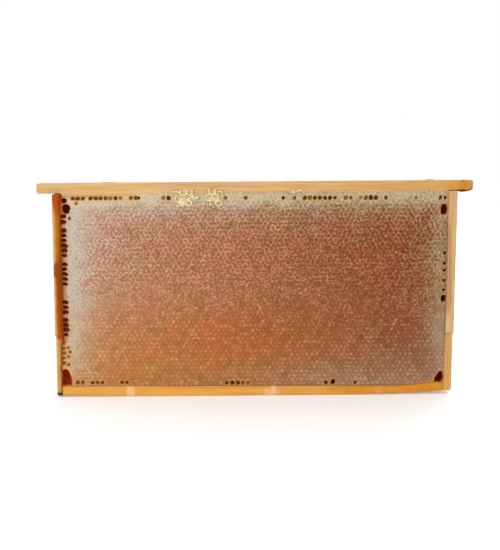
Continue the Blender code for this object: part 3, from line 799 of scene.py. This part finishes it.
def add_curl(solid, corner, back, reach, curl, seed):
    """An upright wall along part of an oval, of uneven height."""
    across, up, half_width, half_height = [value / 1000 for value in curl[:4]]
    start, end = curl[4:]
    rings = []
    for step in range(CURL_STEPS + 1):
        share = step / CURL_STEPS
        angle = math.radians(start + (end - start) * share)
        ragged = noise(np.array(step * 0.9), np.array(float(seed)), 2.2, seed % 7) * 0.5
        tall = reach * (0.72 + 0.28 * math.sin(math.pi * min(share, 1 - share) * 2) + 0.16 * float(ragged))
        ring = []
        for inset, height in CURL_SECTION:
            x = corner.x + across + (half_width + inset * CURL_WALL) * math.cos(angle)
            z = corner.z + up + (half_height + inset * CURL_WALL) * math.sin(angle)
            ring.append(solid.verts.new((x, back - height * tall, z)))
        rings.append(ring)
    for one, two in zip(rings, rings[1:]):
        for side in range(4):
            solid.faces.new((one[side], two[side], two[(side + 1) % 4], one[(side + 1) % 4]))
    solid.faces.new(rings[0][::-1])
    solid.faces.new(rings[-1])


def add_lump(solid, corner, back, lump):
    across, up, half_width, half_height, reach = [value / 1000 for value in lump]
    middle = Vector((corner.x + across, back - LUMP_SUNK, corner.z + up))
    size = Matrix.Diagonal((half_width, reach, half_height, 1))
    bmesh.ops.create_icosphere(solid, subdivisions=3, radius=1.0, matrix=Matrix.Translation(middle) @ size)


def burr_comb(name, curls, lumps, seed):
    """A cluster of curled cell walls on heaps of wax, in the place of its solid."""
    low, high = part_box(name)
    back = high.y
    solid = bmesh.new()
    for number, curl in enumerate(curls):
        add_curl(solid, low, back, (back - low.y) * CURL_REACH, curl, seed + number)
    for lump in lumps:
        add_lump(solid, low, back, lump)
    bmesh.ops.recalc_face_normals(solid, faces=solid.faces)
    rough = bpy.data.meshes.new(name + "_rough")
    solid.to_mesh(rough)
    solid.free()
    piece = link_object(name + "_wax", rough)
    mesh = soften(piece, BURR_VOXEL, 2)
    points, normals = vertex_arrays(mesh)
    x, y, z = points.T
    points = points + normals * 0.00022 * layered_noise(x + y, z - y, 0.0022, seed)[:, None]
    shape(mesh, points, {"crest": smooth(back - points[:, 1], 0.0020, 0.0040)})
    return piece


# ---------------- materials

SATIN_SPECULAR = 0.06
SPECKLE = 0.34  # how much the fine speckle adds to or takes from the capping pattern


def node(tree, kind, **inputs):
    """A new node with constants set on its inputs by name."""
    made = tree.nodes.new(kind)
    for key, value in inputs.items():
        made.inputs[key.replace("_", " ")].default_value = value
    return made


def new_material(name):
    material = bpy.data.materials.new(name)
    material.use_nodes = True
    return material, material.node_tree, material.node_tree.nodes["Principled BSDF"]


def mix_colour(tree, factor, first, second, blend="MIX"):
    """Mixes two colours, each a socket or an (r, g, b)."""
    mixer = tree.nodes.new("ShaderNodeMix")
    mixer.data_type = "RGBA"
    mixer.blend_type = blend
    for value, socket in ((factor, mixer.inputs[0]), (first, mixer.inputs[6]), (second, mixer.inputs[7])):
        if isinstance(value, bpy.types.NodeSocket):
            tree.links.new(value, socket)
        elif isinstance(value, tuple):
            socket.default_value = (*value, 1.0)
        else:
            socket.default_value = value
    return mixer.outputs[2]


def mix_tint(tree, colour, tint, factor=1.0):
    """A colour multiplied by a tint, in full where the factor is 1."""
    return mix_colour(tree, factor, colour, tint, "MULTIPLY")


def remap(tree, value, low, high, out_low=0.0, out_high=1.0):
    """A soft step from one number to another, as the value goes from low to high."""
    mapper = tree.nodes.new("ShaderNodeMapRange")
    mapper.interpolation_type = "SMOOTHSTEP"
    tree.links.new(value, mapper.inputs["Value"])
    for key, number in zip(("From Min", "From Max", "To Min", "To Max"), (low, high, out_low, out_high)):
        mapper.inputs[key].default_value = number
    return mapper.outputs["Result"]


def add_values(tree, first, second):
    plus = tree.nodes.new("ShaderNodeMath")
    plus.operation = "ADD"
    tree.links.new(first, plus.inputs[0])
    tree.links.new(second, plus.inputs[1])
    return plus.outputs[0]


def attribute(tree, name):
    reader = tree.nodes.new("ShaderNodeAttribute")
    reader.attribute_name = name
    return reader.outputs["Fac"]


def noise_texture(tree, vector, scale, detail, distortion=0.0):
    texture = node(tree, "ShaderNodeTexNoise", Scale=scale, Detail=detail, Distortion=distortion)
    tree.links.new(vector, texture.inputs["Vector"])
    return texture.outputs["Fac"]


def cover(tree, colour, field, second):
    """A colour that turns into a second one where the mesh's field is 1."""
    return mix_colour(tree, attribute(tree, field), colour, second)


def mottle(tree, scale, detail, low, high, out_low=0.0, out_high=1.0):
    """Soft patches all through the piece, finer for a greater scale."""
    return remap(tree, noise_texture(tree, place(tree), scale, detail), low, high, out_low, out_high)


def place(tree, scale=(1, 1, 1)):
    """Object coordinates, stretched."""
    source = tree.nodes.new("ShaderNodeTexCoord").outputs["Object"]
    mapping = node(tree, "ShaderNodeMapping", Scale=scale)
    tree.links.new(source, mapping.inputs["Vector"])
    return mapping.outputs["Vector"]


def ramp(tree, axis, start, end):
    """0 to 1 between two places along an axis."""
    split = tree.nodes.new("ShaderNodeSeparateXYZ")
    tree.links.new(tree.nodes.new("ShaderNodeTexCoord").outputs["Object"], split.inputs[0])
    return remap(tree, split.outputs[axis], start, end)


def bump(tree, shader, height, strength, distance):
    bumper = node(tree, "ShaderNodeBump", Strength=strength, Distance=distance)
    tree.links.new(height, bumper.inputs["Height"])
    tree.links.new(bumper.outputs["Normal"], shader.inputs["Normal"])


def comb_colours(tree):
    """The colours of sealed comb: honey under thin wax, pale ridges and dome tips over it, the tips partly
    a painted highlight, painted glints and dry white wax.
    """
    across = ramp(tree, "X", -0.22, 0.22)
    low = ramp(tree, "Z", 0.135, 0.020)
    wet_top = mix_colour(tree, across, (0.356, 0.142, 0.060), (0.156, 0.042, 0.012))
    wet_low = mix_colour(tree, across, (0.425, 0.175, 0.040), (0.214, 0.076, 0.034))
    wet = mix_colour(tree, low, wet_top, wet_low)
    wet = mix_tint(tree, wet, (1.14, 0.92, 0.70), attribute(tree, "glow"))
    wet = mix_tint(tree, wet, (1.10, 0.93, 1.08), mottle(tree, 38.0, 2.0, 0.35, 0.70))
    wet = cover(tree, mix_tint(tree, wet, (0.76, 0.72, 0.68)), "shade", wet)
    fine = mottle(tree, 560.0, 2.0, 0.28, 0.72, -SPECKLE, SPECKLE)
    pattern = add_values(tree, attribute(tree, "pattern"), fine)
    upper_tint = mix_tint(tree, wet, mix_colour(tree, across, (1.50, 1.84, 2.15), (2.20, 2.95, 3.30)))
    # Low down the pale colour falls on the domes' tips, and is partly a painted highlight.
    lower_tint = mix_tint(tree, wet, mix_colour(tree, across, (1.32, 1.48, 1.66), (1.74, 2.05, 2.40)))
    raised = mix_colour(tree, low, upper_tint, lower_tint)
    wax = mix_colour(tree, remap(tree, pattern, 0.0, 1.0), wet, raised)
    glint = remap(tree, pattern, 0.85, 1.25, 0.0, 0.6)
    wax = mix_colour(tree, glint, wax, mix_tint(tree, raised, (1.25, 1.40, 1.60)))
    pale_top = mix_colour(tree, across, (0.52, 0.445, 0.36), (0.39, 0.30, 0.175))
    pale_low = mix_colour(tree, across, (0.55, 0.40, 0.24), (0.42, 0.30, 0.195))
    white = mix_colour(tree, low, pale_top, pale_low)
    cream = mix_colour(tree, across, (0.575, 0.48, 0.33), (0.47, 0.38, 0.25))
    white = mix_colour(tree, ramp(tree, "Z", 0.203, 0.217), white, cream)
    dips = remap(tree, attribute(tree, "pattern"), 0.50, 0.05)
    white = mix_tint(tree, white, (0.93, 0.90, 0.88), dips)
    dull = mix_tint(tree, white, (0.86, 0.85, 0.83))
    white = mix_colour(tree, remap(tree, fine, -SPECKLE, SPECKLE), dull, white)
    return cover(tree, wax, "dry", white)


def comb_material():
    """Sealed comb with amber round its open cells and dark brown honey in their depths."""
    material, tree, shader = new_material("comb_wax_capped")
    colour = comb_colours(tree)
    left = ramp(tree, "X", -0.196, -0.200)
    high = ramp(tree, "Z", 0.058, 0.064)
    amber = remap(tree, attribute(tree, "amber"), 0.05, 1.0, 0.0, 0.85)
    rosy_wall = mix_colour(tree, high, (0.62, 0.34, 0.055), (0.42, 0.135, 0.040))
    amber_colour = mix_colour(tree, left, (0.56, 0.34, 0.10), rosy_wall)
    colour = mix_colour(tree, amber, colour, amber_colour)
    # Dark painted shade with some propolis beside the left bar, and orange gum at the foot's bend.
    bar_shade_and_gum = mix_colour(tree, ramp(tree, "X", 0.0, 0.10), (0.27, 0.070, 0.010), (0.52, 0.20, 0.04))
    colour = cover(tree, colour, "bar_shade_and_gum", bar_shade_and_gum)
    half_deep = remap(tree, attribute(tree, "deep"), 0.0, 0.5)
    low_brown = mix_colour(tree, high, (0.36, 0.140, 0.006), (0.34, 0.050, 0.006))
    foot = ramp(tree, "Z", 0.030, 0.020)
    open_brown = mix_colour(tree, foot, (0.32, 0.115, 0.004), (0.42, 0.110, 0.005))
    brown = mix_colour(tree, left, open_brown, low_brown)
    colour = mix_colour(tree, half_deep, colour, brown)
    full_deep = remap(tree, attribute(tree, "deep"), 0.6, 1.0)
    colour = mix_colour(tree, full_deep, colour, (0.30, 0.022, 0.004))
    left_red = mix_colour(tree, high, (0.40, 0.044, 0.003), (0.22, 0.018, 0.003))
    red = mix_colour(tree, left, (0.22, 0.020, 0.002), left_red)
    colour = cover(tree, colour, "gap", red)
    tree.links.new(colour, shader.inputs["Base Color"])
    tree.links.new(remap(tree, attribute(tree, "dry"), 0.0, 0.8, 0.42, 0.65), shader.inputs["Roughness"])
    shader.inputs["Specular IOR Level"].default_value = SATIN_SPECULAR
    bump(tree, shader, noise_texture(tree, place(tree), 1500.0, 2.0), 0.35, 0.0003)
    return material


def stretched(grain_axis, along, across):
    """The scale of a texture that is drawn out along one axis."""
    scale = [across, across, across]
    scale[grain_axis] = along
    return tuple(scale)


def wood_material(name, grain_axis, pale, dark, blotch, wax, stain, recolour=None):
    """Planed softwood: long grain lines along one axis, fibres, soft stains and a satin surface.
    recolour gives a bar's own changes of colour."""
    material, tree, shader = new_material(name)
    lines = noise_texture(tree, place(tree, stretched(grain_axis, 5.0, 150.0)), 1.0, 4.0, 0.8)
    fibres = noise_texture(tree, place(tree, stretched(grain_axis, 30.0, 1100.0)), 1.0, 3.0)
    blotches = mottle(tree, 22.0, 3.0, 0.48, 0.72, 0.0, 0.65)
    colour = mix_colour(tree, remap(tree, lines, 0.36, 0.66), pale, dark)
    colour = mix_tint(tree, colour, (0.88, 0.84, 0.78), remap(tree, fibres, 0.35, 0.65))
    colour = mix_colour(tree, blotches, colour, blotch)
    colour = cover(tree, colour, "wax", wax)
    # The stain field holds real stains and, on the side bars and under the top bar's right lug, painted
    # shade too.
    colour = cover(tree, colour, "stain", stain)
    if recolour:
        colour = recolour(tree, colour)
    tree.links.new(colour, shader.inputs["Base Color"])
    tree.links.new(remap(tree, fibres, 0.3, 0.7, 0.48, 0.66), shader.inputs["Roughness"])
    shader.inputs["Specular IOR Level"].default_value = SATIN_SPECULAR
    bump(tree, shader, fibres, 0.25, 0.0004)
    return material


def top_bar_colour(tree, colour):
    """The top bar grows more yellow to the right, and most of all at its right lug."""
    colour = mix_tint(tree, colour, (0.92, 0.84, 0.66), ramp(tree, "X", -0.10, 0.20))
    return mix_tint(tree, colour, (1.02, 0.84, 0.42), ramp(tree, "X", 0.190, 0.228))


def side_bar_colour(tree, colour):
    """The side bars are golden at the foot; the left one is stained red at the top, brown and dark at the
    comb with stain and painted shade, and black at the foot, a painted shadow; the right one has faint
    painted shade at the comb.
    """
    colour = mix_tint(tree, colour, (1.02, 0.91, 0.60), ramp(tree, "Z", 0.066, 0.056))
    patchy = remap(tree, noise_texture(tree, place(tree, (1, 1, 0.5)), 45.0, 2.0), 0.35, 0.65)
    # Brown on the left bar's slope: partly stain, partly painted shade.
    golden_brown = mix_colour(tree, patchy, (0.46, 0.145, 0.002), (0.40, 0.105, 0.002))
    red_brown = mix_colour(tree, patchy, (0.40, 0.080, 0.002), (0.33, 0.055, 0.002))
    brown = mix_colour(tree, ramp(tree, "Z", 0.166, 0.142), golden_brown, red_brown)
    colour = cover(tree, colour, "brown", brown)
    colour = cover(tree, colour, "warm", (0.43, 0.064, 0.003))
    # Dark stain and painted shade where the bars meet the comb.
    colour = cover(tree, colour, "stain", (0.23, 0.042, 0.002))
    # Near-black painted shadow at the left bar's foot.
    return cover(tree, colour, "painted_foot_shadow", (0.045, 0.022, 0.008))


def top_bar_material():
    pale, dark, blotch = (0.66, 0.42, 0.19), (0.58, 0.34, 0.14), (0.60, 0.33, 0.18)
    # The dark stain colour also stands for painted shade under the right lug.
    wax, stain = (0.80, 0.58, 0.36), (0.09, 0.026, 0.004)
    return wood_material("top_bar_pine", ALONG_X, pale, dark, blotch, wax, stain, top_bar_colour)


def bottom_bar_material():
    pale, dark, blotch = (0.74, 0.37, 0.075), (0.66, 0.30, 0.05), (0.70, 0.36, 0.10)
    wax, stain = (0.78, 0.45, 0.21), (0.57, 0.195, 0.004)
    return wood_material("bottom_bar_pine", ALONG_X, pale, dark, blotch, wax, stain)


def side_bar_material():
    pale, dark, blotch = (0.64, 0.43, 0.22), (0.54, 0.33, 0.15), (0.58, 0.33, 0.14)
    # The dark stain colour also stands for painted shade where the bars meet the comb.
    wax, stain = (0.80, 0.58, 0.36), (0.24, 0.050, 0.002)
    return wood_material("side_bar_pine", ALONG_Z, pale, dark, blotch, wax, stain, side_bar_colour)


def burr_material():
    """Fresh pale wax, yellow-green in its hollows."""
    material, tree, shader = new_material("burr_wax_pale")
    patchy = mottle(tree, 190.0, 3.0, 0.35, 0.65)
    crest = mix_colour(tree, patchy, (0.75, 0.62, 0.395), (0.68, 0.585, 0.33))
    hollow = mix_colour(tree, patchy, (0.57, 0.42, 0.19), (0.52, 0.44, 0.17))
    tree.links.new(cover(tree, hollow, "crest", crest), shader.inputs["Base Color"])
    shader.inputs["Roughness"].default_value = 0.5
    shader.inputs["Specular IOR Level"].default_value = 0.2
    shader.inputs["Subsurface Weight"].default_value = 0.15
    shader.inputs["Subsurface Radius"].default_value = (0.004, 0.002, 0.001)
    bump(tree, shader, noise_texture(tree, place(tree), 900.0, 2.0), 0.3, 0.0003)
    return material


# ---------------- stage


def add_stage():
    bpy.ops.mesh.primitive_plane_add(size=12.0, location=(0, 2.0, 0))
    floor = bpy.context.object
    floor.name = "floor"
    material, tree, shader = new_material("pale_floor")
    soft = mottle(tree, 3.0, 2.0, 0.0, 1.0, 0.42, 0.5)
    shader.inputs["Base Color"].default_value = (0.78, 0.78, 0.78, 1.0)
    shader.inputs["Emission Color"].default_value = (1.0, 1.0, 1.0, 1.0)
    shader.inputs["Emission Strength"].default_value = 0.22
    tree.links.new(soft, shader.inputs["Roughness"])
    shader.inputs["Specular IOR Level"].default_value = 0.1
    floor.data.materials.append(material)
    world = bpy.data.worlds.new("studio")
    bpy.context.scene.world = world
    world.use_nodes = True
    sky = world.node_tree.nodes["Background"]
    sky.inputs["Color"].default_value = (1, 1, 1, 1)
    sky.inputs["Strength"].default_value = 1.0


def add_light(name, place_at, size, power):
    light = bpy.data.lights.new(name, "AREA")
    light.size = size
    light.energy = power
    made = link_object(name, light)
    made.location = place_at
    aim = Vector((0, 0, HEIGHT / 2)) - Vector(place_at)
    made.rotation_euler = aim.to_track_quat("-Z", "Y").to_euler()


def add_lights():
    add_light("key", (-0.9, -1.5, 1.5), 0.5, 14.0)
    add_light("back_fill", (0.9, 1.6, 1.2), 0.9, 12.0)


def add_camera():
    camera = bpy.data.cameras.new("camera")
    camera.lens = FOCAL_LENGTH
    camera.clip_start = 0.01
    made = link_object("camera", camera)
    elevation = math.radians(CAMERA_ELEVATION)
    back = Vector((0, -math.cos(elevation), math.sin(elevation)))
    made.location = CAMERA_TARGET + back * CAMERA_DISTANCE
    turn = (-back).to_track_quat("-Z", "Y").to_matrix().to_4x4()
    roll = Matrix.Rotation(math.radians(CAMERA_ROLL), 4, "Z")
    made.rotation_euler = (turn @ roll).to_euler()
    bpy.context.scene.camera = made


# ---------------- main


def add_comb():
    comb_wax = comb_material()
    for piece in comb_strips():
        finish_piece(piece, comb_wax, "comb_wax", ("comb",))


def add_bars():
    side_wood = side_bar_material()
    for name, grain_axis, marks, seed, wood, slot in (
        ("top_bar", ALONG_X, top_bar_marks, 21, top_bar_material(), "wood_top"),
        ("bottom_bar", ALONG_X, bottom_bar_marks, 31, bottom_bar_material(), "wood_bottom"),
        ("side_bar_left", ALONG_Z, side_bar_marks, 41, side_wood, "wood_side"),
        ("side_bar_right", ALONG_Z, side_bar_marks, 51, side_wood, "wood_side"),
    ):
        finish_piece(worn_copy(name, grain_axis, marks, seed), wood, slot, (name,))


def add_burr_comb():
    fresh_wax = burr_material()
    for name, curls, lumps, seed in (
        ("burr_comb_left", LEFT_CURLS, LEFT_LUMPS, 3),
        ("burr_comb_right", RIGHT_CURLS, RIGHT_LUMPS, 17),
        ("burr_comb_small", SMALL_CURLS, SMALL_LUMPS, 29),
    ):
        finish_piece(burr_comb(name, curls, lumps, seed), fresh_wax, "burr_wax", (name,))


def main():
    bpy.context.scene.view_settings.view_transform = "Standard"
    add_stage()
    add_lights()
    add_camera()
    add_comb()
    add_bars()
    add_burr_comb()


main()
